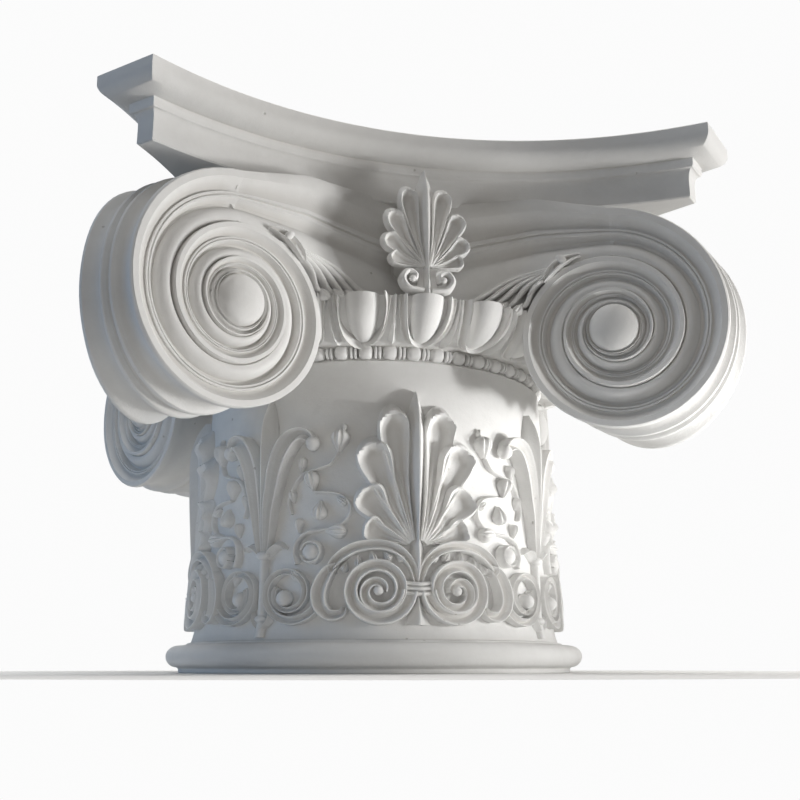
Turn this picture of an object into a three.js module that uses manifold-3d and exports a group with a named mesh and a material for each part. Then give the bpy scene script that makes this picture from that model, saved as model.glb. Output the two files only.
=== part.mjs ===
// Column capital: an angular Ionic capital with a decorated neck, one casting.
// Millimetres, +Z up, origin at the middle of the underside, front palmette towards -Y.
import * as THREE from 'three';
import Module from 'manifold-3d';

const wasm = await Module();
wasm.setup();
const { Manifold, Mesh: Shell } = wasm;

// Driving sizes
const HEIGHT = 398;               // underside of the foot ring to the top of the abacus
const SIDES = 4;                  // the capital looks the same from all four sides
const ROUND_SEGMENTS = 32;        // facets round the neck; the beads and eggs have three times as many

// Foot ring and neck, radii from the middle
const FOOT_R = 158.7;             // bottom fillet, the bed on the shaft
const FOOT_H = 4;
const TORUS_R = 168.7;            // widest part of the foot ring
const TORUS_Z = 13;
const TORUS_TOP = 22;
const NECK_FOOT_R = 150;          // where the neck springs from the ring
const NECK_LOW_R = 145.5;
const NECK_LOW_Z = 48;
const NECK_TOP_R = 140;
const NECK_TOP_Z = 226;
const CORE_R = 135;               // plain core behind the canals

// Bead and reel ring
const BEADS = 48;
const BEAD_RING_R = 138;
const BEAD_Z = 233;
const BEAD_HALF = 6.5;
const REEL_HALF = 4.5;

// Echinus with its eggs
const EGGS = 24;
const ECHINUS_TOP_R = 189;
const ECHINUS_TOP_Z = 263;
const ECHINUS_LOW_R = 148;
const ECHINUS_LOW_Z = 238;
const EGG_PROUD = 6;
const FRAME_PROUD = 3;

// Abacus: four hollow sides, cut corners, profile going in and down
const CORNER_X = 200.8;           // end of a hollow side, across
const CORNER_Y = 237.8;           // end of a hollow side, out from the middle
const SIDE_MID = 169.7;           // middle of a hollow side, out from the middle
const ABACUS_BOTTOM = 350;
const OVOLO_TOP = HEIGHT - 7;
const OVOLO_IN = 17;
const FILLET_TOP = 379;
const FILLET_BOTTOM = 374.5;
const FASCIA_IN = 22;
const FASCIA_TOP = 364.5;
const SIDE_FACETS = 8;

// Volutes: two spiral faces a corner, mirrored across the diagonal
const EYE_X = 135.7;
const EYE_Y = 198.3;
const EYE_Z = 243.8;
const FACE_TURN = 0.492;          // turn of the face at the eye, radians
const FACE_BEND = 0.00076;        // more turn for each millimetre outwards
const EYE_R = 26;                 // eye and the last small turn round it
const EYE_DOME = 6;
const FACE_RISE = 4.5;            // the middle of the scroll stands out of the rim
const SCROLL_STEPS = 12;          // facets in a turn
const RIM_RADII = [96, 80.3, 73.4, 66.9, 56, 50, 43.5, 36.8, EYE_R];
const RIM_PROFILE = [[0, 0], [0.6, -7]];   // share of the way to the next rim, depth
const BAND_PROFILE = [[0.26, -5], [0.5, 0], [0.74, -5]]; // share across the band, depth

// Canals that run from the middle of a side into the scrolls
const CANAL_REACH = 149;          // from the eye back to the middle of the side
const CANAL_BACK = 82;
const CANAL_HOLLOW = 7;
const CANAL_LOW_Z = 261;
const CANAL_STEPS = 4;

// Points and closed bodies
const add = (a, b, k = 1) => a.map((v, i) => v + b[i] * k);
const mix = (a, b, t) => a.map((v, i) => v + (b[i] - v) * t);
const ramp = (t, from, to) => Math.min(1, Math.max(0, (t - from) / (to - from)));

function body(points, faces) {
  let volume = 0;
  for (const [a, b, c] of faces) {
    const [p, q, r] = [points[a], points[b], points[c]];
    volume += p[0] * (q[1] * r[2] - q[2] * r[1]) - p[1] * (q[0] * r[2] - q[2] * r[0]);
    volume += p[2] * (q[0] * r[1] - q[1] * r[0]);
  }
  const outward = volume < 0 ? faces.map(([a, b, c]) => [a, c, b]) : faces;
  const shell = new Shell({
    numProp: 3,
    vertProperties: new Float32Array(points.flat()),
    triVerts: new Uint32Array(outward.flat()),
  });
  shell.merge();
  return Manifold.ofMesh(shell);
}

// A body through closed rings of points; a ring may have a few times as many as its neighbour
function loft(rings) {
  const points = rings.flat();
  const faces = [];
  let start = 0;
  for (let i = 0; i + 1 < rings.length; i++) {
    const [low, high] = [rings[i].length, rings[i + 1].length];
    const top = start + low;
    const count = Math.min(low, high);
    const times = Math.max(low, high) / count;
    const [coarse, fine, flip] = high >= low ? [start, top, false] : [top, start, true];
    const put = (a, b, c) => faces.push(flip ? [a, c, b] : [a, b, c]);
    for (let j = 0; j < count; j++) {
      const next = (j + 1) % count;
      const spot = (k) => fine + (j * times + k) % (count * times);
      const turn = Math.ceil(times / 2);
      for (let k = 0; k < times; k++) put(coarse + (k < turn ? j : next), spot(k + 1), spot(k));
      put(coarse + j, coarse + next, spot(turn));
    }
    start = top;
  }
  for (const [ring, from, flip] of [[rings[0], 0, true], [rings.at(-1), start, false]]) {
    const middle = ring.reduce((sum, p) => add(sum, p, 1 / ring.length), [0, 0, 0]);
    if (ring.length === 3) {
      faces.push(flip ? [from + 2, from + 1, from] : [from, from + 1, from + 2]);
      continue;
    }
    points.push(middle);
    ring.forEach((_, j) => {
      const edge = [from + j, from + (j + 1) % ring.length];
      faces.push([points.length - 1, ...(flip ? edge.reverse() : edge)]);
    });
  }
  return body(points, faces);
}

const ringAt = (r, z, count) => Array.from({ length: count }, (_, i) => {
  const a = (i / count) * 2 * Math.PI;
  return [r * Math.sin(a), -r * Math.cos(a), z];
});

const aroundSides = (shape) => Array.from({ length: SIDES }, (_, i) => (
  shape.rotate([0, 0, (360 / SIDES) * i])
));

// Radius of the plain neck at a height
function neckRadius(z) {
  if (z > NECK_LOW_Z) return NECK_LOW_R + (NECK_TOP_R - NECK_LOW_R) * ramp(z, NECK_LOW_Z, NECK_TOP_Z);
  const t = 1 - ramp(z, TORUS_TOP, NECK_LOW_Z);
  return NECK_LOW_R + (NECK_FOOT_R - NECK_LOW_R) * t * t;
}

// Foot ring, neck, beads and reels, echinus with its eggs and darts, plain core above
function makeCore() {
  const profile = [
    [FOOT_R, 0], [FOOT_R, FOOT_H], [TORUS_R - 2.5, FOOT_H + 3], [TORUS_R, TORUS_Z],
    [TORUS_R - 3, TORUS_TOP - 3], [FOOT_R - 4, TORUS_TOP - 1],
  ];
  for (const z of [TORUS_TOP + 1, 34, NECK_LOW_Z, NECK_TOP_Z - 2]) profile.push([neckRadius(z), z]);
  const rings = profile.map(([r, z]) => ringAt(r, z, ROUND_SEGMENTS));
  const fine = BEADS * 2;
  const swelling = (radius, z) => ringAt(1, z, fine).map(([x, y], i) => [x * radius(i), y * radius(i), z]);
  const bead = (i) => (i % 2 ? REEL_HALF : BEAD_HALF);
  rings.push(swelling((i) => BEAD_RING_R + bead(i) * 0.3, BEAD_Z - BEAD_HALF));
  rings.push(swelling((i) => BEAD_RING_R + bead(i), BEAD_Z));
  const proud = [EGG_PROUD, -FRAME_PROUD, FRAME_PROUD, -FRAME_PROUD];
  for (const [t, swell] of [[0, 0.2], [0.5, 1], [1, 0.9]]) {
    const reach = ECHINUS_TOP_R - EGG_PROUD - ECHINUS_LOW_R;
    const r = ECHINUS_LOW_R + reach * Math.sin(t * Math.PI / 2);
    const z = ECHINUS_TOP_Z - (ECHINUS_TOP_Z - ECHINUS_LOW_Z - 1) * Math.cos(t * Math.PI / 2);
    rings.push(swelling((i) => r + swell * proud[i % proud.length], z));
  }
  rings.push(ringAt(CORE_R, ECHINUS_TOP_Z + 2, ROUND_SEGMENTS));
  rings.push(ringAt(CORE_R, ABACUS_BOTTOM + 4, ROUND_SEGMENTS));
  return loft(rings);
}

// Plan of the abacus, brought in by a distance all round
function abacusPlan(inset, z) {
  const bow = CORNER_Y - SIDE_MID;
  const radius = (CORNER_X ** 2 + bow ** 2) / (2 * bow);
  const centre = SIDE_MID + radius;
  const cut = CORNER_X + CORNER_Y - inset * Math.SQRT2 - centre;
  const r = radius + inset;
  const end = Math.asin((cut + Math.sqrt(2 * r * r - cut * cut)) / 2 / r);
  const points = [];
  for (let side = 0; side < SIDES; side++) {
    const turn = (side / SIDES) * 2 * Math.PI;
    for (let i = 0; i <= SIDE_FACETS; i++) {
      const a = end * (2 * i / SIDE_FACETS - 1);
      const [x, y] = [r * Math.sin(a), r * Math.cos(a) - centre];
      points.push([x * Math.cos(turn) - y * Math.sin(turn), x * Math.sin(turn) + y * Math.cos(turn), z]);
    }
  }
  return points;
}

function makeAbacus() {
  const profile = [[FASCIA_IN, ABACUS_BOTTOM], [FASCIA_IN, FASCIA_TOP]];
  profile.push([OVOLO_IN + 1.5, FILLET_BOTTOM - 2], [OVOLO_IN, FILLET_BOTTOM], [OVOLO_IN, FILLET_TOP]);
  for (const share of [0.45, 1]) {
    const a = share * Math.PI / 2;
    profile.push([OVOLO_IN * (1 - Math.sin(a)), FILLET_TOP + (OVOLO_TOP - FILLET_TOP) * (1 - Math.cos(a))]);
  }
  profile.push([0, HEIGHT]);
  return loft(profile.map(([inset, z]) => abacusPlan(inset, z)));
}

// A spot on a volute face: along it from the eye, height, and out of it
function faceSpot(along, z, out) {
  const turn = FACE_TURN + FACE_BEND * along;
  const x = EYE_X + (Math.sin(turn) - Math.sin(FACE_TURN)) / FACE_BEND;
  const y = -EYE_Y + (Math.cos(turn) - Math.cos(FACE_TURN)) / FACE_BEND;
  return [x - Math.sin(turn) * out, y - Math.cos(turn) * out, z];
}
const acrossDiagonal = ([x, y, z]) => [-y, -x, z];

// Radius of the scroll's rim, counted in quarter turns from the top going outwards
function rimRadius(quarters) {
  const last = RIM_RADII.length - 1;
  if (quarters >= last) return EYE_R;
  const i = Math.floor(quarters);
  return RIM_RADII[i] + (RIM_RADII[i + 1] - RIM_RADII[i]) * (quarters - i);
}

function scrollSpot(step, share, depth) {
  const quarters = (step / SCROLL_STEPS) * 4;
  const outer = rimRadius(quarters);
  const r = outer + (rimRadius(quarters + 4) - outer) * share;
  const a = quarters * Math.PI / 2;
  const rise = FACE_RISE * (1 - r / RIM_RADII[0]);
  const shallow = Math.sqrt(Math.max(outer - rimRadius(quarters + 4), 0) / (RIM_RADII[0] - RIM_RADII[4]));
  return faceSpot(r * Math.sin(a), EYE_Z + r * Math.cos(a), rise + depth * shallow);
}

function makeVolute() {
  const steps = SCROLL_STEPS * (RIM_RADII.length - 1) / 4;
  const lanes = RIM_PROFILE.length;
  const front = [];
  for (let i = 0; i <= steps; i++) {
    for (const [share, depth] of RIM_PROFILE) {
      if (i < steps) front.push(scrollSpot(i, share, depth));
    }
  }
  const eyeStart = front.length;
  for (const [size, dome] of [[1, 0], [0.6, 0.8]]) {
    for (let i = 0; i < SCROLL_STEPS; i++) {
      const a = (i / SCROLL_STEPS) * 2 * Math.PI;
      const r = EYE_R * size;
      front.push(faceSpot(r * Math.sin(a), EYE_Z + r * Math.cos(a), FACE_RISE + EYE_DOME * dome));
    }
  }
  front.push(faceSpot(0, EYE_Z, FACE_RISE + EYE_DOME));
  const rimPoint = (i, lane) => {
    if (lane === lanes) return rimPoint(i + SCROLL_STEPS, 0);
    return i < steps ? i * lanes + lane : eyeStart + (i % SCROLL_STEPS);
  };
  const faces = [];
  const quad = (a, b, c, d) => {
    if (a !== b && b !== c) faces.push([a, b, c]);
    if (a !== c && c !== d && a !== d) faces.push([a, c, d]);
  };
  for (let i = 0; i < steps; i++) {
    const lanesHere = i < steps ? lanes : 0;
    for (let lane = 0; lane < lanesHere; lane++) {
      const next = i + 1 < steps ? rimPoint(i + 1, lane) : rimPoint(i + 1, lanes);
      const nextIn = i + 1 < steps ? rimPoint(i + 1, lane + 1) : rimPoint(i + 1, lanes);
      quad(rimPoint(i, lane), next, nextIn, rimPoint(i, lane + 1));
    }
  }
  const dome = eyeStart + SCROLL_STEPS;
  for (let i = 0; i < SCROLL_STEPS; i++) {
    const j = (i + 1) % SCROLL_STEPS;
    quad(eyeStart + i, eyeStart + j, dome + j, dome + i);
    faces.push([dome + i, dome + j, front.length - 1]);
  }
  // The other face is the mirror image; its facets run the other way
  const size = front.length;
  const points = [...front, ...front.map(acrossDiagonal)];
  const all = [...faces, ...faces.map(([a, b, c]) => [a + size, c + size, b + size])];
  // The band between the two rims, hollowed along its length
  const loop = [];
  for (let i = 0; i <= SCROLL_STEPS; i++) loop.push(rimPoint(i, 0));
  for (let lane = lanes - 1; lane > 0; lane--) loop.push(rimPoint(0, lane));
  const axis = mix(faceSpot(0, EYE_Z, 0), acrossDiagonal(faceSpot(0, EYE_Z, 0)), 0.5);
  const strips = [loop];
  for (const [share, depth] of BAND_PROFILE) {
    strips.push(loop.map((k, n) => {
      const spot = mix(points[k], points[k + size], share);
      const reach = Math.hypot(spot[0] - axis[0], spot[1] - axis[1], spot[2] - axis[2]);
      points.push(mix(spot, axis, n <= SCROLL_STEPS ? -depth / reach : 0));
      return points.length - 1;
    }));
  }
  strips.push(loop.map((k) => k + size));
  for (let s = 0; s + 1 < strips.length; s++) {
    loop.forEach((_, n) => {
      const m = (n + 1) % loop.length;
      all.push([strips[s][m], strips[s][n], strips[s + 1][n]], [strips[s][m], strips[s + 1][n], strips[s + 1][m]]);
    });
  }
  return body(points, all);
}

// Hollow channel from the middle of a side to the top of the scroll, both halves
function makeCanal() {
  const half = [];
  for (let i = 0; i <= CANAL_STEPS; i++) {
    const t = i / CANAL_STEPS;
    const along = -CANAL_REACH * t;
    const rim = RIM_RADII[0];
    const top = Math.min(EYE_Z + rim + 16 * ramp(t, 0, 0.45), ABACUS_BOTTOM + 3);
    const lowest = EYE_Z + RIM_RADII[4];
    const low = lowest + (CANAL_LOW_Z - lowest) * t ** 1.3;
    const at = (share, out) => faceSpot(along, low + (top - low) * share, out);
    half.push([at(0, 2), at(0.4, -CANAL_HOLLOW), at(0.8, 0), at(1, 0), at(1, -CANAL_BACK), at(0, -CANAL_BACK)]);
  }
  const end = half[0].map((p) => add(p, [4, -1.5, -0.5]));
  half.unshift(end.map((p, i) => (i < 4 ? add(p, [1.5, 3, -1]) : p)));
  const mirrored = half.map((section) => section.map(([x, y, z]) => [-x, y, z]));
  return loft([...half.slice(0, -1), ...mirrored.reverse()]);
}

// Raised ornament on the neck: a ridge that follows a path of [along, up, half width, height]
function relief(path, place) {
  const sections = path.map(([s, z, half, height], i) => {
    const before = path[Math.max(i - 1, 0)];
    const after = path[Math.min(i + 1, path.length - 1)];
    const [ds, dz] = [after[0] - before[0], after[1] - before[1]];
    const length = Math.hypot(ds, dz);
    const [ns, nz] = [-dz / length * half, ds / length * half];
    return [place(s - ns, z - nz, -3), place(s, z, height), place(s + ns, z + nz, -3)];
  });
  return loft(sections);
}
const onNeck = (axis) => (s, z, out) => {
  const r = neckRadius(z) + out;
  const a = axis + s / NECK_LOW_R;
  return [r * Math.sin(a), -r * Math.cos(a), z];
};
const bothWays = (path) => [path, path.map(([s, ...rest]) => [-s, ...rest])];

// A leaf lobe from a root to a tip, widest near the tip
const lobe = (root, tip, half, height) => [
  [...mix(root, tip, 0.33), half * 0.3, height * 0.45],
  [...mix(root, tip, 0.78), half, height * 0.9],
  [...tip, half * 0.55, height * 0.8],
];

// A scroll from the end of its stem to its middle
function scroll(centre, radius, turns, start, steps, half, height) {
  return Array.from({ length: steps + 1 }, (_, i) => {
    const t = i / steps;
    const r = radius * (1 - 0.75 * t);
    const a = start + t * turns * 2 * Math.PI;
    return [centre[0] + r * Math.sin(a), centre[1] + r * Math.cos(a), half * (1 - 0.3 * t), height];
  });
}

// Large palmette on the middle of each side of the neck, on a pair of scrolls
const PALMETTE_ROOT = [3, 88];
const PALMETTE_LOBES = [[[18, 184], 9.5], [[37, 160], 8.5], [[40, 128], 7.5], [[35, 104], 5.5]];
function neckPalmette() {
  const paths = [[[0, 80, 5, 6], [0, 165, 4, 11], [0, 200, 1, 5]]];
  for (const [tip, half] of PALMETTE_LOBES) paths.push(...bothWays(lobe(PALMETTE_ROOT, tip, half, 12)));
  paths.push(...bothWays(scroll([27, 57], 20, 1.1, -1.2, 8, 4.4, 9)));
  paths.push(...bothWays([[8, 80, 2, 6], [27, 87, 3.5, 8], [46, 84, 3.5, 8], [58, 73, 2.5, 7]]));
  paths.push([[0, 66, 6, 9], [0, 48, 4, 9], [0, 34, 8, 7]]);
  return paths;
}

// Drooping leaf, outer scroll, rosettes and the tendril that climbs beside the palmette
const ROSETTES = [[75, 84, 11, 9], [57, 165, 8, 7]];
function neckTendril() {
  const paths = [
    ...bothWays([[58, 70, 3, 7], [67, 55, 5, 9], [60, 40, 4, 7]]),
    ...bothWays([[72, 42, 3, 6], ...scroll([93, 56], 16, 0.9, -2.5, 5, 4, 8)]),
    ...bothWays([[78, 97, 2.5, 6], [50, 104, 3, 6], [54, 126, 3, 6], [88, 136, 3, 6], [58, 152, 3, 6]]),
  ];
  for (const [s, z, half, height] of ROSETTES) {
    paths.push(...bothWays([[s - half, z, half * 0.4, 1], [s, z, half, height], [s + half, z, half * 0.4, 1]]));
  }
  return paths;
}

// Lotus on each diagonal: stem, two bud leaves, spear and two curled petals
function neckLotus() {
  return [
    [[0, 30, 3, 5], [0, 86, 4.5, 8], [0, 170, 6.5, 9], [0, 194, 1, 5]],
    ...bothWays([[6, 88, 3, 6], [9, 135, 5, 9], [16, 162, 5, 10], [26, 168, 4, 8]]),
  ];
}

// Small palmette in the middle of each side, in front of the canal
const SMALL_ROOT = [0, 286];
function smallPalmette() {
  const lean = (s, z, out) => {
    const t = ramp(z, ECHINUS_TOP_Z, HEIGHT - 28);
    return [s, -(ECHINUS_TOP_R - 9) + 12 * t - out, z];
  };
  const lobes = [[[15, 360], 7.5], [[26, 341], 7], [[27, 315], 6]];
  const paths = [[[0, 266, 5, 5], [0, 335, 3.5, 8], [0, 371, 1, 5]]];
  for (const [tip, half] of lobes) paths.push(...bothWays(lobe(SMALL_ROOT, tip, half, 8)));
  paths.push(...bothWays([[5, 272, 3, 4], [12, 271, 6.5, 8], [19, 272, 3, 4]]));
  const backing = [[-12, 267], [-24, 300], [-24, 335], [0, 360], [24, 335], [24, 300], [12, 267]];
  const rear = backing.map(([s, z]) => [s, -(CORE_R - 12), z]);
  return [...paths.map((path) => relief(path, lean)), loft([backing.map(([s, z]) => lean(s, z, 0)), rear])];
}

// Husk in the angle between the canal and the scroll: three stems ending in buds
function makeHusk() {
  const place = (along, z, out) => faceSpot(along, z, out);
  const stems = [[-78, 264]];
  const paths = stems.map(([along, z]) => [[-34, 292, 2.5, 5], [along + 10, z + 13, 5, 5], [along, z, 6, 6]]);
  const shapes = paths.map((path) => relief(path, place));
  return [...shapes, ...shapes.map((shape) => shape.mirror([1, 0, 0]))];
}

// Everything joined into the one casting
const neckPaths = [...neckPalmette(), ...neckTendril()];
const oneSide = [
  ...neckPaths.map((path) => relief(path, onNeck(0))),
  ...neckLotus().map((path) => relief(path, onNeck(Math.PI / SIDES))),
  ...smallPalmette(),
  ...makeHusk(),
  makeCanal(),
  makeVolute(),
];
const casting = Manifold.union([
  makeCore(),
  makeAbacus(),
  ...oneSide.flatMap(aroundSides),
]);

function toMesh(shape) {
  const { vertProperties, triVerts, numProp } = shape.getMesh();
  const positions = new Float32Array((vertProperties.length / numProp) * 3);
  for (let i = 0; i < positions.length / 3; i++) {
    for (let k = 0; k < 3; k++) positions[i * 3 + k] = vertProperties[i * numProp + k];
  }
  const geometry = new THREE.BufferGeometry();
  geometry.setAttribute('position', new THREE.BufferAttribute(positions, 3));
  geometry.setIndex(new THREE.BufferAttribute(new Uint32Array(triVerts), 1));
  geometry.computeVertexNormals();
  const plaster = new THREE.MeshStandardMaterial({ color: 0xd1cfc9, roughness: 0.92, metalness: 0 });
  return new THREE.Mesh(geometry, plaster);
}

const capital = toMesh(casting);
capital.name = 'column_capital';

const part = new THREE.Group();
part.name = 'part';
part.add(capital);
export default part;
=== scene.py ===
"""Column capital in white plaster: the detailed casting, its floor, light and camera."""
import math

import bpy
import numpy as np
from mathutils import Matrix, Vector


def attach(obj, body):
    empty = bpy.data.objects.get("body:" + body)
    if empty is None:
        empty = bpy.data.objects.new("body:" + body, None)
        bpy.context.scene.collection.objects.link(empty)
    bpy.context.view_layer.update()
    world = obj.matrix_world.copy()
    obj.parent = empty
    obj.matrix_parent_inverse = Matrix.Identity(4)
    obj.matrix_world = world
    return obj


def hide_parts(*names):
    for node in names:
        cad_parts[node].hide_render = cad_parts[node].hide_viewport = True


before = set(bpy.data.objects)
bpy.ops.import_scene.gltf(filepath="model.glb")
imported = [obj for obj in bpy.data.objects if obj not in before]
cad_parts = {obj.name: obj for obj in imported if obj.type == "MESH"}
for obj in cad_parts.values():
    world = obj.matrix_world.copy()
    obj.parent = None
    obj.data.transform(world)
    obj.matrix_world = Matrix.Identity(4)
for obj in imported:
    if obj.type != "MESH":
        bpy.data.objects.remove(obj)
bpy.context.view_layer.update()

MM = 0.001
rng = np.random.default_rng(7)

# Sizes in millimetres, the same as the solid's
HEIGHT = 398.0
FOOT_R, TORUS_R, TORUS_Z, TORUS_TOP = 158.7, 168.7, 13.0, 22.0
NECK_FOOT_R, NECK_LOW_R, NECK_LOW_Z = 150.0, 145.5, 48.0
NECK_TOP_R, NECK_TOP_Z, CORE_R = 140.0, 226.0, 135.0
BEADS, BEAD_RING_R, BEAD_Z = 48, 138.0, 233.0
EGGS, ECHINUS_LOW_R, ECHINUS_LOW_Z = 24, 148.0, 238.0
ECHINUS_FACE_R, ECHINUS_TOP_Z = 180.5, 263.0
CORNER_X, CORNER_Y, SIDE_MID, ABACUS_BOTTOM = 200.8, 237.8, 169.7, 350.0
EYE_X, EYE_Y, EYE_Z, EYE_R = 135.7, 198.3, 243.8, 19.5
FACE_TURN, FACE_BEND, FACE_RISE = 0.492, 0.00076, 4.5
RIM_RADII = [96, 80.3, 73.4, 66.9, 56, 50, 43.5, 36.8, 30.8, 27.8, 24.8, 22, EYE_R]
CANAL_REACH, CANAL_BACK, CANAL_LOW_Z = 149.0, 82.0, 261.0
SINK = 2.5  # how far raised ornament reaches into what carries it
THINNEST = 0.15  # least half width of ornament and least radius of a bead's end


SHARP_ANGLE = math.radians(38)  # edges bent more than this are shaded sharp


class Shells:
    """Gathers closed shells and turns them into one mesh."""

    def __init__(self):
        self.points, self.faces, self.count = [], [], 0

    def add(self, points, faces):
        """Adds one closed shell, turned right side out."""
        points = np.asarray(points, float)
        tris = [(f[0], f[i], f[i + 1]) for f in faces for i in range(1, len(f) - 1)]
        a, b, c = (points[[t[k] for t in tris]] for k in range(3))
        inside_out = (a * np.cross(b, c)).sum() < 0
        self.faces += [tuple(self.count + i for i in (f[::-1] if inside_out else f)) for f in faces]
        self.points.append(points)
        self.count += len(points)

    def object(self, name, material):
        """Makes the mesh and names the solid that it stands for."""
        mesh = bpy.data.meshes.new(name)
        mesh.from_pydata((np.concatenate(self.points) * MM).tolist(), [], self.faces)
        mesh.validate()
        mesh.shade_smooth()
        mesh.set_sharp_from_angle(angle=SHARP_ANGLE)
        piece = bpy.data.objects.new(name, mesh)
        bpy.context.scene.collection.objects.link(piece)
        mesh.materials.append(material)
        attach(piece, "root")
        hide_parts("column_capital")
        return piece


def turned(points, quarter):
    """Points turned by quarter turns round the capital's axis."""
    c, s = [(1, 0), (0, 1), (-1, 0), (0, -1)][quarter % 4]
    p = np.asarray(points)
    return np.stack([p[:, 0] * c - p[:, 1] * s, p[:, 0] * s + p[:, 1] * c, p[:, 2]], -1)


def flipped(points):
    """Points mirrored from the right half of a side to its left half."""
    return np.asarray(points) * [-1, 1, 1]


def lofted(rings):
    """Closed shell through rings of the same number of points, fans at the ends."""
    rings = np.asarray(rings, float)
    n, m = rings.shape[:2]
    points = list(rings.reshape(-1, 3)) + [rings[0].mean(0), rings[-1].mean(0)]
    faces = [
        (i * m + j, i * m + (j + 1) % m, (i + 1) * m + (j + 1) % m, (i + 1) * m + j)
        for i in range(n - 1) for j in range(m)
    ]
    faces += [(n * m, (j + 1) % m, j) for j in range(m)]
    faces += [(n * m + 1, (n - 1) * m + j, (n - 1) * m + (j + 1) % m) for j in range(m)]
    return points, faces


def curve(control, n):
    """Smooth curve through control rows of any width."""
    c = np.asarray(control, float)
    c = np.vstack([2 * c[0] - c[1], c, 2 * c[-1] - c[-2]])
    t = np.linspace(0, len(c) - 3 - 1e-9, n)
    i = t.astype(int)
    u = (t - i)[:, None]
    a, b, d, e = c[i], c[i + 1], c[i + 2], c[i + 3]
    return b + 0.5 * u * (d - a + u * (2 * a - 5 * b + 4 * d - e + u * (3 * (b - d) + e - a)))


ROUND_FACETS = 192


def revolve(profile):
    """Shell of revolution through profile points of radius and height."""
    a = np.linspace(0, 2 * np.pi, ROUND_FACETS, endpoint=False)
    return lofted([
        np.stack([r * np.sin(a), -r * np.cos(a), np.full_like(a, z)], -1) for r, z in profile
    ])


def bow(start, end, centre, steps=8):
    """Arc of an ellipse between two profile points that share an axis with its centre."""
    a = np.linspace(0, np.pi / 2, steps + 1)[:, None]
    s, e, c = (np.asarray(v, float) for v in (start, end, centre))
    return [tuple(p) for p in c + (s - c) * np.cos(a) + (e - c) * np.sin(a)]


# Body of revolution


def neck_radius(z):
    """Radius of the plain neck at a height, with its flare above the foot."""
    z = np.asarray(z, float)
    up = np.clip((z - NECK_LOW_Z) / (NECK_TOP_Z - NECK_LOW_Z), 0, 1)
    straight = NECK_LOW_R + (NECK_TOP_R - NECK_LOW_R) * up
    t = 1 - np.clip((z - TORUS_TOP) / (NECK_LOW_Z - TORUS_TOP), 0, 1)
    return np.where(z > NECK_LOW_Z, straight, NECK_LOW_R + (NECK_FOOT_R - NECK_LOW_R) * t * t)


def core_profile():
    """Radius and height, from the foot ring up to the core behind the canals."""
    profile = [(FOOT_R - 1, 0), (FOOT_R, 0.8), (FOOT_R, 3.2), (FOOT_R + 1.2, 4.2)]
    profile += bow((FOOT_R + 1.6, 4.4), (TORUS_R, TORUS_Z), (FOOT_R + 1.6, TORUS_Z))
    profile += bow((TORUS_R, TORUS_Z), (FOOT_R + 0.5, TORUS_TOP - 1), (FOOT_R + 0.5, TORUS_Z))[1:]
    profile += [(FOOT_R - 3, TORUS_TOP - 0.8), (FOOT_R - 5.5, TORUS_TOP - 0.2)]
    profile += [(FOOT_R - 6, TORUS_TOP + 0.6)]
    profile += [(float(neck_radius(z)), z) for z in np.linspace(TORUS_TOP + 1.4, NECK_LOW_Z, 8)]
    profile += [(float(neck_radius(z)), z) for z in np.linspace(60, NECK_TOP_Z, 12)]
    profile += [(NECK_TOP_R - 2, NECK_TOP_Z + 1.5), (CORE_R, BEAD_Z), (CORE_R + 6, ECHINUS_LOW_Z)]
    profile += [echinus(t) for t in np.linspace(0, 1, 9)]
    profile += [(ECHINUS_FACE_R - 1, ECHINUS_TOP_Z + 1), (CORE_R, ECHINUS_TOP_Z + 1)]
    profile += [(CORE_R, ABACUS_BOTTOM + 4)]
    return profile


def echinus(t):
    """Radius and height on the echinus, from its foot (0) to its top edge (1)."""
    a = t * math.pi / 2
    r = ECHINUS_LOW_R + (ECHINUS_FACE_R - ECHINUS_LOW_R) * math.sin(a)
    return r, ECHINUS_TOP_Z - (ECHINUS_TOP_Z - ECHINUS_LOW_Z - 1) * math.cos(a)


def on_echinus(angle, t, out):
    """A spot on the echinus: angle, way up from its foot, distance out of it."""
    angle, t, out = np.broadcast_arrays(np.asarray(angle, float), t, out)
    a = t * np.pi / 2
    span, rise = ECHINUS_FACE_R - ECHINUS_LOW_R, ECHINUS_TOP_Z - ECHINUS_LOW_Z - 1
    r = ECHINUS_LOW_R + span * np.sin(a)
    z = ECHINUS_TOP_Z - rise * np.cos(a)
    nr, nz = rise * np.sin(a), -span * np.cos(a)
    size = np.hypot(nr, nz)
    r, z = r + out * nr / size, z + out * nz / size
    return np.stack([r * np.sin(angle), -r * np.cos(angle), z], -1)


EGG_SPREAD = math.radians(3.85)  # half width of an egg, as an angle round the axis
EGG_HEIGHT = 11.5


def egg(middle):
    """An egg with a flat-cut top, as a shell half sunk in the echinus."""
    rings = []
    for t in np.concatenate([np.linspace(0.03, 0.2, 5), np.linspace(0.3, 1.0, 9)]):
        down = (1 - t) / 0.98
        half = EGG_SPREAD * math.sqrt(max(1 - down ** 2.4, 0.0))
        full = EGG_HEIGHT * math.sqrt(max(1 - down ** 2.2, 0.0))
        a = np.linspace(-1, 1, 15)
        rings.append(np.vstack([
            on_echinus(middle + half * a, t, full * np.sqrt(1 - (a * 0.96) ** 2) - 1.5),
            on_echinus(middle + half * a[::-1] * 0.8, t, -4.0),
        ]))
    return lofted(rings)


# Across an egg's frame, from outside to inside: share of the half width, height
FRAME = [
    (-1, -3), (-1, 2.6), (-0.86, 3.8), (-0.7, 3.6), (-0.45, 2.6), (0, 3.2),
    (0.45, 5.4), (0.66, 7.2), (0.82, 7.6), (0.95, 6.4), (1, 3), (1, -3),
]
FRAME_HALF = 3.1  # half width of the frame's rim
FRAME_SPREAD = math.radians(5.85)  # from the egg's middle to the rim, as an angle round the axis
ECHINUS_RUN = 45.0  # about the length of the echinus's curve from foot to top


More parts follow.
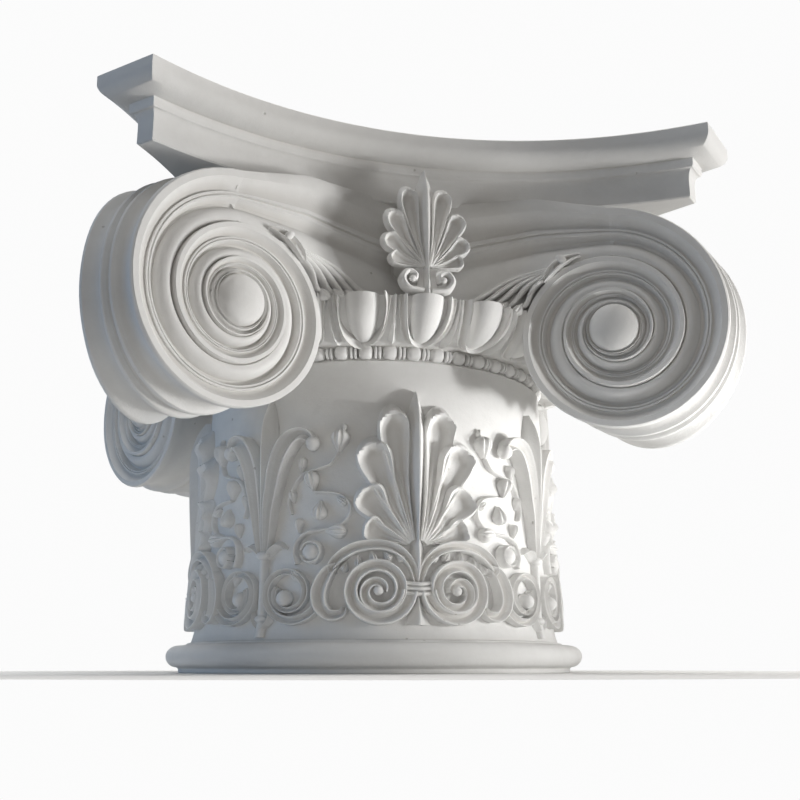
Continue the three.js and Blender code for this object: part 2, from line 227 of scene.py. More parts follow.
def frame_ridge(middle):
    """The U-shaped rim round an egg."""
    swing = np.linspace(-1, 1, 49) * np.pi / 2
    angle = middle + FRAME_SPREAD * np.sign(swing) * np.abs(np.sin(swing)) ** 0.9
    t = 1.0 - 0.9 * np.cos(swing) ** 0.8
    spine = np.stack([angle, t], -1)
    slope = np.sin(np.clip(t, 0, 1) * np.pi / 2)
    spread = ECHINUS_LOW_R + (ECHINUS_FACE_R - ECHINUS_LOW_R) * slope
    way = np.gradient(np.stack([angle * spread, t * ECHINUS_RUN], -1), axis=0)
    way /= np.linalg.norm(way, axis=1)[:, None]
    return lofted([
        [
            on_echinus(a - wt * x * FRAME_HALF / r, up + ws * x * FRAME_HALF / ECHINUS_RUN, h)
            for x, h in FRAME
        ]
        for (a, up), (ws, wt), r in zip(spine, way, spread)
    ])


# Along a dart, from its top down: way up the echinus, half width, height
DART = [
    (1.0, 1.3, 5.5), (0.8, 1.2, 6), (0.5, 1.6, 6),
    (0.25, 2.6, 5.6), (0.1, 3.0, 4.4), (-0.06, 0.6, 2),
]
DART_R = 160.0  # radius at which a dart's width is measured


def dart(middle):
    """The narrow dart between two eggs, with a sharp ridge."""
    rings = []
    for t, half, up in DART:
        rings.append([
            on_echinus(middle + across * half / DART_R, t, h)
            for across, h in [(-1, -3), (-1, 0.8), (0, up), (1, 0.8), (1, -3)]
        ])
    return lofted(rings)


# A bead and the two discs beside it: place along the ring, half length, radius, roundness
BEAD_AND_DISCS = [(0, 5.4, 5.5, 0.5), (7.5, 1.1, 4.7, 0.3), (10.4, 1.1, 4.7, 0.3)]


def bead_ring(shells):
    """Ring of beads with paired discs between them."""
    for k in range(BEADS):
        middle = 2 * math.pi * k / BEADS
        for centre, half, radius, swell in BEAD_AND_DISCS:
            a0 = middle + centre / BEAD_RING_R
            rings = []
            for x in np.cos(np.linspace(0.02, np.pi - 0.02, 9)):
                r = max(radius * (1 - abs(x) ** (2 / swell)) ** swell, THINNEST)
                a = a0 + x * half / BEAD_RING_R
                turn = np.linspace(0, 2 * np.pi, 12, endpoint=False)
                out = BEAD_RING_R + r * np.cos(turn)
                up = BEAD_Z + r * np.sin(turn)
                rings.append(np.stack([out * math.sin(a), -out * math.cos(a), up], -1))
            shells.add(*lofted(rings))


# Abacus


SIDE_FACETS = 44


def abacus_plan(inset, z):
    """Outline at a height: hollow sides with the corners cut off, set in by an inset."""
    bend = CORNER_Y - SIDE_MID
    radius = (CORNER_X ** 2 + bend ** 2) / (2 * bend)
    centre = SIDE_MID + radius
    cut = CORNER_X + CORNER_Y - inset * math.sqrt(2) - centre
    r = radius + inset
    end = math.asin((cut + math.sqrt(2 * r * r - cut * cut)) / 2 / r)
    a = end * np.linspace(-1, 1, SIDE_FACETS + 1)
    side = np.stack([r * np.sin(a), r * np.cos(a) - centre, np.full_like(a, z)], -1)
    return np.vstack([turned(side, q) for q in range(4)])


def abacus():
    """The moulded slab on top, from its underside up."""
    profile = [(30, ABACUS_BOTTOM), (23, ABACUS_BOTTOM), (22, ABACUS_BOTTOM + 1), (22, 363)]
    profile += bow((22, 364), (18, 372.5), (18, 364))[1:]
    profile += [(17.2, 373.6), (17, 374.2), (17, 378.4), (16.6, 379.2)]
    profile += bow((16, 379.3), (0, 391), (16, 391), 12)[1:]
    profile += [(0, 397), (0.9, HEIGHT)]
    return lofted([abacus_plan(i, z) for i, z in profile])


# Volutes and canals

# Across one winding, from its rim inwards: share of the way, depth in mm
WINDING = [
    (0, -0.6), (0.015, 0), (0.15, 0), (0.165, -0.7), (0.22, -3.4), (0.30, -6.0), (0.385, -6.6),
    (0.395, -4.6), (0.435, -4.6), (0.445, -6.4), (0.46, -6.4), (0.47, -5.0), (0.505, -5.2),
    (0.53, -8.6), (0.58, -11.2), (0.64, -11.2), (0.69, -8.2), (0.75, -5.2), (0.82, -3.4),
    (0.89, -3.0), (0.95, -3.8), (0.975, -5.6), (0.985, -6.6),
]
# Across the band between the two faces: share of the way, height in mm
BAND = [
    (0.015, 0.5), (0.055, 0.5), (0.07, -0.4), (0.11, -3.0), (0.17, -5.2), (0.24, -5.8),
    (0.31, -4.8), (0.355, -2.6), (0.372, -1.0), (0.385, 0.2), (0.41, 0.7), (0.435, 0.2),
    (0.45, -1.4), (0.465, -3.2), (0.5, -4.0),
]
BAND += [(1 - share, depth) for share, depth in BAND[-2::-1]]
STEPS = 72  # facets in a turn


def on_face(along, z, out):
    """A spot on the front right spiral face."""
    along, z, out = np.broadcast_arrays(np.asarray(along, float), z, out)
    turn = FACE_TURN + FACE_BEND * along
    x = EYE_X + (np.sin(turn) - math.sin(FACE_TURN)) / FACE_BEND
    y = -EYE_Y + (np.cos(turn) - math.cos(FACE_TURN)) / FACE_BEND
    return np.stack([x - np.sin(turn) * out, y - np.cos(turn) * out, z], -1)


def across_diagonal(points):
    """Points mirrored from one face of a corner to the other."""
    p = np.asarray(points)
    return np.stack([-p[..., 1], -p[..., 0], p[..., 2]], -1)


RIM_SLOPES = np.gradient(np.array(RIM_RADII, float))


def rim_radius(quarters):
    """Smooth spiral: Hermite curve through the rim's quarter-turn radii."""
    q = np.clip(np.asarray(quarters, float), 0, len(RIM_RADII) - 1 - 1e-9)
    i = q.astype(int)
    u = q - i
    r = np.array(RIM_RADII, float)
    a, b, sa, sb = r[i], r[i + 1], RIM_SLOPES[i], RIM_SLOPES[i + 1]
    h = a * (2 * u ** 3 - 3 * u ** 2 + 1) + b * (3 * u ** 2 - 2 * u ** 3)
    return h + sa * (u ** 3 - 2 * u ** 2 + u) + sb * (u ** 3 - u ** 2)


# The eye: share of its radius, height over the face
EYE = [
    (1, 0.0), (0.975, -2.6), (0.94, -2.9), (0.92, -2.4), (0.89, 0.4),
    (0.8, 2.7), (0.65, 4.9), (0.45, 6.6), (0.22, 7.6),
]
EYE_TOP = 7.9
QUARTERS = len(RIM_RADII) - 1


def volute():
    """A corner volute: two spiral faces and the moulded band between them."""
    steps = STEPS * QUARTERS // 4
    lanes = len(WINDING)
    q = np.arange(steps) / STEPS * 4
    outer = rim_radius(q)
    inner = np.where(q + 4 >= QUARTERS, EYE_R, rim_radius(q + 4))
    shallow = np.sqrt(np.clip((outer - inner) / (RIM_RADII[0] - RIM_RADII[4]), 0.02, 1))
    front = np.zeros((steps, lanes, 3))
    for lane, (share, depth) in enumerate(WINDING):
        r = outer + (inner - outer) * share
        rise = FACE_RISE * (1 - r / RIM_RADII[0])
        along, up = r * np.sin(q * np.pi / 2), EYE_Z + r * np.cos(q * np.pi / 2)
        front[:, lane] = on_face(along, up, rise + depth * shallow)
    points = list(front.reshape(-1, 3))
    eye_start = len(points)
    a = np.arange(STEPS) / STEPS * 2 * np.pi
    for size, dome in EYE:
        r = EYE_R * size
        points += list(on_face(r * np.sin(a), EYE_Z + r * np.cos(a), FACE_RISE + dome))
    points.append(on_face(0.0, EYE_Z, FACE_RISE + EYE_TOP))

    def spot(i, lane):
        """Number of the point at a step and lane; past the last step lies the eye."""
        if lane == lanes:
            return spot(i + STEPS, 0)
        return i * lanes + lane if i < steps else eye_start + i % STEPS

    faces = []
    for i in range(steps):
        for lane in range(lanes):
            if i + 1 < steps:
                near, far = spot(i, lane), spot(i + 1, lane)
                faces.append((near, far, spot(i + 1, lane + 1), spot(i, lane + 1)))
            else:
                faces.append((spot(i, lane), spot(steps, 0), spot(i, lane + 1)))
    faces = [f if len(set(f)) == 4 else tuple(dict.fromkeys(f)) for f in faces]
    faces = [f for f in faces if len(f) > 2]
    for k in range(len(EYE) - 1):
        for i in range(STEPS):
            j = (i + 1) % STEPS
            b = eye_start + k * STEPS
            faces.append((b + i, b + j, b + STEPS + j, b + STEPS + i))
    last = eye_start + (len(EYE) - 1) * STEPS
    faces += [(last + i, last + (i + 1) % STEPS, len(points) - 1) for i in range(STEPS)]
    size = len(points)
    points = np.array(points)
    both = np.vstack([points, across_diagonal(points)])
    faces += [tuple(size + i for i in f[::-1]) for f in faces]
    # the band runs once round the rim and back along the step where the winding starts
    loop = [spot(i, 0) for i in range(STEPS + 1)]
    loop += [spot(0, lane) for lane in range(lanes - 1, 0, -1)]
    middle = on_face(0.0, EYE_Z, 0.0)
    middle = (middle + across_diagonal(middle)) / 2
    strips, extra = [loop], []
    for share, depth in BAND:
        row = []
        for n, k in enumerate(loop):
            p = both[k] * (1 - share) + both[k + size] * share
            d = p - middle
            reach = np.linalg.norm(d)
            row.append(len(both) + len(extra))
            extra.append(p + d / reach * (depth if n <= STEPS else 0))
        strips.append(row)
    strips.append([k + size for k in loop])
    for low, high in zip(strips, strips[1:]):
        for n in range(len(loop)):
            m = (n + 1) % len(loop)
            faces.append((low[m], low[n], high[n], high[m]))
    return np.vstack([both, extra]), faces


def canal_edges(t):
    """Heights of the canal's edges, from the scroll (0) to the middle of the side (1)."""
    top = EYE_Z + RIM_RADII[0] + 16 * min(1, t / 0.45)
    lowest = EYE_Z + RIM_RADII[4]
    return lowest + (CANAL_LOW_Z - lowest) * t ** 1.3, min(top, ABACUS_BOTTOM + 3)


def canal():
    """The channel that joins two volutes across a side."""
    share, groove = np.array(WINDING).T
    half = []
    for t in np.linspace(0, 1, 30):
        low, top = canal_edges(t)
        along = -CANAL_REACH * t
        rise = FACE_RISE * 0.42 * share * (1 - t)
        face = on_face(along, top + (low - top) * share, groove * (1 - 0.35 * t) + rise)
        edge = on_face(along, np.array([low, low - 1.5, low - 1.5]), np.array([1.5, 0.5, -12.0]))
        back = on_face(along, np.array([low, top]), -CANAL_BACK)
        half.append(np.vstack([face, edge, back]))
    last = np.array(half[-1])
    last[:, 0] = 0
    half[-1] = last
    # the end slips under the scroll's face and fills the wedge behind it
    edge = on_face(0.0, half[0][:, 2], 0.0)
    shallow = half[0] + on_face(1.5, half[0][:, 2], -0.12) - edge
    tuck = half[0] + on_face(2.1, half[0][:, 2], -2.0) - edge
    low, top = canal_edges(0)
    tuck[-2:] = on_face(19.0, np.array([low, top - 7.5]), -60.0)
    half.insert(0, shallow)
    half.insert(0, tuck)
    return lofted(half + [flipped(section) for section in half[-2::-1]])


# Raised ornament


def mirrored(half):
    """A cross-section from its left half."""
    return half + [(-across, up) for across, up in half[::-1] if across]


# Cross-sections: across (-1 to 1), up (share of the height)
ROUND = mirrored([(-1, 0.0), (-0.92, 0.42), (-0.7, 0.74), (-0.36, 0.94), (0, 1)])
BLOOM = mirrored([(-1, 0.0), (-0.94, 0.4), (-0.74, 0.74), (-0.5, 0.86), (-0.3, 0.8), (0, 1)])
RIDGE = mirrored([(-1, 0.0), (-0.95, 0.2), (-0.6, 0.42), (-0.25, 0.72), (-0.06, 0.98)])
GUTTER = mirrored([
    (-1, 0.0), (-1, 0.7), (-0.92, 0.96), (-0.78, 1), (-0.64, 0.9), (-0.42, 0.6), (0, 0.46),
])


def sweep(control, place, section, n):
    """Ornament along a path of [along, up, half width, height] rows, in n rings."""
    path = curve(control, n)
    way = np.gradient(path[:, :2], axis=0)
    way /= np.linalg.norm(way, axis=1)[:, None] + 1e-9
    rings = []
    for (s, z, half, height), (ds, dz) in zip(path, way):
        across = np.array([-1] + [p[0] for p in section] + [1]) * max(half, THINNEST)
        up = np.array([-SINK] + [p[1] * height for p in section] + [-SINK])
        rings.append(place(s - dz * across, z + ds * across, up))
    return lofted(rings)


def knob(s, z, base, place, radii, tilt=0.0):
    """A rounded lump: radii along, across and out."""
    along, across, out = radii
    c, d = math.cos(tilt), math.sin(tilt)
    a = np.linspace(0, 2 * np.pi, 14, endpoint=False)
    rings = []
    for v in np.linspace(0.06, np.pi - 0.06, 10):
        x, y = along * math.cos(v), across * math.sin(v) * np.cos(a)
        up = base + out * math.sin(v) * np.sin(a)
        rings.append(place(s + x * c - y * d, z + x * d + y * c, up))
    return lofted(rings)


def on_neck(axis):
    """Gives the function that sets a spot on the neck, measured from an axis round it."""
    def place(s, z, out):
        s, z, out = np.broadcast_arrays(np.asarray(s, float), z, out)
        r = neck_radius(z) + out
        a = axis + s / NECK_LOW_R
        return np.stack([r * np.sin(a), -r * np.cos(a), z], -1)
    return place


def leaf(root, tip, half, height, place, bend=2.0, ridges=3):
    """Spoon-shaped leaf with ridges on its stalk, a thick rim and a tip that rolls forward."""
    root, tip = np.array(root, float), np.array(tip, float)
    d = tip - root
    side = np.array([d[1], -d[0]]) / np.hypot(*d)
    # u runs from root to tip, close together at the tip, and v from edge to edge
    tip_rows = 0.76 + 0.2395 * np.sin(np.linspace(0, np.pi / 2, 15))
    u = np.concatenate([np.linspace(0, 0.72, 12), tip_rows])[:, None]
    v = np.sin(np.linspace(-1, 1, 17) * np.pi / 2)[None, :]
    grow = np.clip(u / 0.74, 0, 1)
    wide = half * (0.16 + 0.84 * grow ** 1.5)
    wide = wide * np.sqrt(np.clip(1 - np.clip((u - 0.76) / 0.24, 0, 1) ** 2.2, 0, 1))
    lift = height * (0.42 + 0.26 * grow) * (1 - 0.6 * np.abs(v) ** 5)
    rim = height * 0.3 * grow * np.exp(-((np.abs(v) - 0.8) / 0.15) ** 2)
    rim = rim * np.clip((0.97 - u) / 0.12, 0, 1)
    hollow = -height * 0.56 * np.clip((u - 0.14) / 0.36, 0, 1) * (1 - v ** 2) ** 1.1
    lines = height * 0.07 * np.cos(v * np.pi * ridges)
    lines = lines * np.clip(u / 0.2, 0, 1) * np.clip((0.86 - u) / 0.3, 0, 1)
    hood = 0.925 - 0.11 * v ** 2
    roll = height * 0.62 * np.exp(-((u - hood) / 0.05) ** 2) * (1 - 0.72 * v ** 2)
    up = lift + rim + hollow + lines + roll
    up = up * np.sqrt(np.clip(1 - np.clip((u - hood) / (1 - hood), 0, 1) ** 2, 0.02, 1))
    arc = bend * np.sin(np.pi * u)
    across = v * wide + arc
    s = root[0] + d[0] * u + side[0] * across
    z = root[1] + d[1] * u + side[1] * across
    rings = []
    for k in range(len(u)):
        top = place(s[k], z[k], up[k])
        rings.append(np.vstack([top, place(s[k][::-4], z[k][::-4], -SINK)]))
    return [lofted(rings)]


# Share of the length, of the half width and of the height along a closed flower bud
BUD = [
    (0, 0.24, 0.34), (0.2, 0.5, 0.6), (0.42, 0.86, 0.88), (0.62, 1.0, 1.0),
    (0.8, 0.9, 1.0), (0.93, 0.58, 0.8), (1, 0.14, 0.42),
]


def bud(s, z, turn, length, half, height, place):
    """Closed flower bud on a stem end; turn is the way it points, in degrees."""
    way = np.array([math.cos(math.radians(turn)), math.sin(math.radians(turn))])
    rows = [
        [*(np.array([s, z]) + way * length * t), half * wide, height * up]
        for t, wide, up in BUD
    ]
    return [sweep(rows, place, BLOOM, 15)]


def spiral(centre, radii, start, half, height):
    """Sixty rows for a spiral through radii given every quarter turn."""
    n = 60
    r = curve([[v] for v in radii], n)[:, 0]
    a = start + np.linspace(0, (len(radii) - 1) * np.pi / 2, n)
    t = np.linspace(0, 1, n)
    x, y = centre[0] + r * np.cos(a), centre[1] + r * np.sin(a)
    return np.stack([x, y, half * (1 - 0.45 * t), height * (1 - 0.12 * t)], -1)


# Root, tip, half width and height of each leaf
PALMETTE_LEAVES = [
    ((7, 90), (38.5, 104), 9.8, 10), ((5.5, 90), (40.5, 131), 13, 11.5),
    ((4.5, 91), (36.5, 167), 13.6, 13), ((3, 92), (19, 192.5), 12.4, 14),
]
# Rows of a sweep: along, up, half width, height
ARCH = [
    [1, 63, 2.4, 6], [5, 75, 3, 8], [14, 84.5, 3.6, 9], [27, 88.5, 3.8, 9],
    [42, 87, 4, 9], [53, 81, 4, 9], [60, 73, 3, 8], [57.5, 68, 1.5, 6],
]
HOOK = [
    [55, 75, 1.5, 6], [62, 70, 4.6, 9], [67.5, 58, 5.6, 10], [67, 47, 5.2, 10],
    [61, 40, 4.2, 9], [53, 40.5, 3.2, 8], [50.5, 45, 2, 7],
]
# Buds under the arch: along, up, way it points, length
ARCH_BUDS = [
    (16, 82, 215, 8), (24, 84.5, 235, 9), (33, 84.5, 250, 9.5),
    (42, 82, 265, 9.5), (50, 77, 285, 8),
]
BIG_SCROLL, BIG_RADII = (27.5, 56.5), [21, 18.8, 18.5, 17.5, 15, 12, 9, 6, 3.2]
SMALL_SCROLL, SMALL_RADII = (92.5, 56), [25, 17.5, 15.5, 14.5, 14, 11.5, 8.5]


def neck_palmette(place):
    """Right half of the large palmette and its scroll."""
    out = []
    for root, tip, half, height in PALMETTE_LEAVES:
        out += leaf(root, tip, half, height, place)
    big = spiral(BIG_SCROLL, BIG_RADII, math.pi, 5.4, 10)
    out.append(sweep(big, place, GUTTER, 90))
    out.append(knob(*BIG_SCROLL, 6, place, (3.4, 3.4, 4)))
    out.append(sweep(ARCH, place, GUTTER, 40))
    for s, z, turn, size in ARCH_BUDS:
        out += bud(s, z, turn, size, 3.2, 7.5, place)
    out.append(sweep(HOOK, place, GUTTER, 40))
    small = spiral(SMALL_SCROLL, SMALL_RADII, math.radians(205), 3.2, 8)
    out.append(sweep(small, place, GUTTER, 64))
    out.append(knob(94.5, 52, 3, place, (5.6, 6, 7.5)))
    out += bud(84, 62, 60, 11, 3.4, 6, place)
    return out


# The upright blade on the palmette's axis
BLADE = [
    [0, 84, 2.2, 8], [0, 110, 3.2, 11], [0, 140, 5.4, 14], [0, 165, 7.6, 15.5],
    [0, 178, 7.4, 15], [0, 192, 4, 11], [0, 202, 0.6, 5],
]
# Bands that tie the two scrolls: height at the ends and in the middle, height out at the ends
TIES = [(61.8, 61.0, 7), (58.4, 57.7, 7.6), (55.0, 54.4, 7)]


def neck_middle(place):
    """Pieces on the palmette's own axis."""
    base = [[0, 63, 2, 6], [0, 75, 5.2, 10], [0, 88, 4.6, 9], [0, 98, 0.8, 6]]
    out = [sweep(BLADE, place, RIDGE, 46), sweep(base, place, RIDGE, 20)]
    for end, middle, up in TIES:
        rows = [[-8.5, end, 2.0, up], [0, middle, 2.1, up + 3], [8.5, end, 2.0, up]]
        out.append(sweep(rows, place, ROUND, 14))
    foot = [[0, 54, 1.5, 6], [0, 46, 3.4, 8], [0, 38, 7, 8.5], [0, 33, 9.5, 7]]
    out.append(sweep(foot, place, RIDGE, 20))
    return out


# Buds: along, up, way it points, length, half width, height
BUDS = [
    (57, 156, 95, 17, 7.2, 10), (75.5, 128, 80, 15, 6, 9),
    (70, 121, 275, 14, 6, 8.5), (85.5, 142, 95, 12, 3.6, 6.5),
    (66, 99.5, 185, 16, 5.6, 8.5), (86, 98, 90, 11, 3.4, 6.5),
    (58, 123, 215, 9, 3.2, 6), (91, 120, 80, 10, 3, 6),
]
LOWER_STEM = [
    [86, 76, 2.2, 6], [88.5, 84, 2.0, 6], [86, 93, 1.8, 5.5], [78, 98.5, 1.6, 5],
    [66, 100, 1.5, 4.5], [55, 103, 1.5, 4.5], [48.5, 110, 1.4, 4.5], [48.5, 118, 1.3, 4.5],
    [54, 124.5, 1.3, 4.5], [64, 127, 1.2, 4.5], [75, 127.5, 1.2, 4.5],
]
UPPER_STEM = [
    [92, 112, 1.0, 4], [94.5, 121, 1.2, 4.5], [91, 132, 1.3, 4.5], [84, 141, 1.3, 4.5],
    [73, 144.5, 1.3, 4.5], [63, 148, 1.2, 4.5], [57.5, 156, 1.0, 4.5],
]


def neck_tendril(place):
    """Right tendril: stems, buds and the cup flower."""
    out = [sweep(LOWER_STEM, place, ROUND, 70), sweep(UPPER_STEM, place, ROUND, 50)]
    out.append(sweep([[54, 178, 0.8, 3], [53, 175, 1.8, 4.5], [54, 172, 0.8, 3]], place, ROUND, 12))
    out.append(knob(75, 84, 3, place, (6.6, 6.8, 7)))
    turns = np.linspace(0.2, 5.9, 12)
    ring = [[75 + 7 * math.cos(a), 84 + 7.2 * math.sin(a), 1.5, 8.5] for a in turns]
    out.append(sweep(ring, place, ROUND, 44))
    for along, up, turn, length, half, height in BUDS:
        out += bud(along, up, turn, length, half, height, place)
    return out


# The lotus: its right outer petal and the blade in its middle
PETAL = [
    [2.5, 84, 1.8, 6], [4, 98, 3.4, 8], [5.5, 115, 4.6, 10], [8, 130, 5.6, 11],
    [11, 145, 6.4, 12], [15.5, 157, 6.8, 13], [21.5, 166, 6.6, 13.5],
    [28.5, 170, 5.6, 13], [34.5, 168.5, 4.4, 11.5], [38, 163, 2.6, 9],
]
LOTUS_BLADE = [
    [0, 86, 2.6, 7], [0, 118, 4.2, 10], [0, 150, 6, 12.5],
    [0, 172, 7, 13.5], [0, 186, 4.8, 11], [0, 199, 0.6, 5],
]


def lotus_half(place):
    """Right petal of the lotus and the small leaves at its foot."""
    leaf_up = [[1, 80, 1.5, 5], [7, 87, 3.6, 8], [13, 90, 3, 8], [19, 87, 0.8, 4]]
    leaf_low = [[1, 30, 1, 4], [6, 36, 3, 6], [8, 44, 0.8, 4]]
    return [
        sweep(PETAL, place, GUTTER, 60),
        knob(38.5, 163, 5.5, place, (5.2, 5.8, 6.5)),
        sweep(leaf_up, place, RIDGE, 18),
        sweep(leaf_low, place, RIDGE, 14),
    ]


def lotus_middle(place):
    """Stem, cups and middle blade of the lotus."""
    return [
        sweep([[0, 25, 3.8, 4.5], [0, 50, 3.2, 5.5], [0, 82, 3.6, 6]], place, ROUND, 24),
        knob(0, 83, 3.5, place, (5.6, 3.6, 5)),
        knob(0, 38, 3, place, (4.6, 3, 4)),
        sweep(LOTUS_BLADE, place, RIDGE, 40),
    ]


# The small palmette's front: y at its foot, how far it leans back, height of its top
FAN_FOOT_Y, FAN_LEAN, FAN_TOP_Z = SIDE_MID + 10.3, 12.0, HEIGHT - 28


def by_upper(s, z, out):
    """In front of the canal in the middle of a side, leaning back as it rises."""
    s, z, out = np.broadcast_arrays(np.asarray(s, float), z, out)
    t = np.clip((z - ECHINUS_TOP_Z) / (FAN_TOP_Z - ECHINUS_TOP_Z), 0, 1)
    return np.stack([s, -FAN_FOOT_Y + FAN_LEAN * t - out, z], -1)


# Root, tip, half width and height of each leaf of the small palmette
SMALL_LEAVES = [
    ((4.5, 287), (28.5, 295), 5.6, 7), ((3.5, 287), (32.5, 311.5), 7, 8),
    ((2.5, 287), (28, 333), 7.4, 9), ((2, 287), (14.5, 353.5), 7.6, 10),
]
CURL = [
    [3, 268, 2.2, 5], [8, 268, 2.6, 6], [15, 269.5, 2.8, 7], [18.5, 276, 2.8, 8],
    [14.5, 282, 2.6, 8], [9, 279.5, 2.4, 7.5], [10, 274.5, 2, 7],
]
FAN_BLADE = [
    [0, 263.5, 3.4, 6], [0, 280, 2.4, 7.5], [0, 300, 3, 9], [0, 330, 5.4, 11.5],
    [0, 346, 6.6, 12], [0, 358, 4, 9], [0, 367, 0.6, 5],
]
# Left outline of the block that carries the small palmette: along, up
BACKING = [(-8, 264), (-7, 284), (-23, 296), (-25, 312), (-20, 331), (-9, 347), (0, 353)]
BACKING_NARROWING = 0.55  # its width at the rear, as a share of the width in front


def small_palmette():
    """Right leaves and curl of the small palmette."""
    out = []
    for root, tip, half, height in SMALL_LEAVES:
        out += leaf(root, tip, half, height, by_upper, 1.2, 2)
    out.append(sweep(CURL, by_upper, ROUND, 44))
    out.append(knob(11.5, 276, 4.5, by_upper, (2.6, 2.6, 3.6)))
    return out


def small_middle():
    """Block behind the small palmette and the blade on its axis."""
    outline = np.array(mirrored(BACKING), float)
    front = by_upper(outline[:, 0], outline[:, 1], 0)
    rear = np.array(front)
    rear[:, 1] = -(CORE_R - 12)
    rear[:, 0] *= BACKING_NARROWING
    return [lofted([front, rear]), sweep(FAN_BLADE, by_upper, RIDGE, 40)]


def spandrel():
    """Web that closes the angle between the canal's lower edge and the echinus."""
    rings = []
    for t in np.linspace(0.3, 0.97, 24):
        low = canal_edges(t)[0] + 1.5
        bend, top = max(low - 3, ECHINUS_TOP_Z + 2.2), max(low, ECHINUS_TOP_Z + 2.6)
        up = np.array([ECHINUS_TOP_Z - 2, ECHINUS_TOP_Z + 2, bend, top])
        sunk = 9 * np.clip((0.47 - t) / 0.05, 0, 1)  # kept behind the scroll's rim
        front = on_face(-CANAL_REACH * t, up, np.array([-3.5, -6, -6.5, -4]) - sunk)
        back = on_face(-CANAL_REACH * t, up[[3, 0]], -CANAL_BACK * 0.5)
        rings.append(np.vstack([front, back]))
    return lofted(rings)


SHEATH = [
    [-22, 303, 1, 3], [-30, 301, 2.6, 5], [-39, 296, 3.4, 7], [-46, 289, 3, 7], [-50, 284, 1.5, 5],
]
# Ends of the husk's stems: along, up
STEM_ENDS = [(-68, 265), (-77, 267), (-86, 269), (-95, 270.5), (-105, 270.5)]
# Buds between the stems: along, up, way they point
HUSK_BUDS = [(-66, 268, 235), (-77, 270, 228), (-88, 271.5, 222), (-99, 272, 215)]


def husk():
    """Leaf husk between canal and scroll: a curled sheath, and stems with buds between them."""
    out = [spandrel()]
    out.append(sweep(SHEATH, on_face, GUTTER, 24))
    out.append(knob(-36, 299.5, 4.5, on_face, (3, 4.6, 3.4), 0.9))
    for n, (along, up) in enumerate(STEM_ENDS):
        rows = [
            [-42, 291.5 + 0.7 * n, 1.2, 4.5],
            [-46 + (along + 46) * 0.5, 288 + (up - 288) * 0.34 + 1.2 * n, 1.8, 4.0],
            [along + 5, up + 3.5, 1.8, 2.5],
            [along, up, 1.0, 1.5],
        ]
        out.append(sweep(rows, on_face, ROUND, 22))
    for along, up, turn in HUSK_BUDS:
        out += bud(along, up, turn, 10, 4, 6.5, on_face)
    return out


# The pieces


def all_round(shells, parts):
    """Adds parts of one side to all four sides."""
    for points, faces in parts:
        for quarter in range(4):
            shells.add(turned(points, quarter), faces)


def halves(shells, parts):
    """Adds parts of the right half of a side to both halves of all four sides."""
    all_round(shells, parts)
    all_round(shells, [(flipped(points), faces) for points, faces in parts])


WAVE_SIZES = (0.09, 0.045, 0.022)  # lengths of the waves in metres


def unevenness(piece, amount):
    """Slight waviness of a hand-finished surface, none at the foot's and the top's flat faces."""
    mesh = piece.data
    co = np.empty(len(mesh.vertices) * 3)
    no = np.empty(len(mesh.vertices) * 3)
    mesh.vertices.foreach_get("co", co)
    mesh.vertex_normals.foreach_get("vector", no)
    co, no = co.reshape(-1, 3), no.reshape(-1, 3)
    wave = np.zeros(len(co))
    for size in WAVE_SIZES:
        k = rng.normal(size=(4, 3))
        k *= (2 * np.pi / size) / np.linalg.norm(k, axis=1)[:, None]
        wave += np.sin(co @ k.T + rng.uniform(0, 6, 4)).sum(1) * size / WAVE_SIZES[0] / 4
    foot = np.clip((co[:, 2] - 0.001) / 0.004, 0, 1)
    top = np.clip((HEIGHT * MM - 0.0005 - co[:, 2]) / 0.004, 0, 1)
    co += no * (wave * amount * MM * (foot * top))[:, None]
    mesh.vertices.foreach_set("co", co.ravel())
    mesh.update()


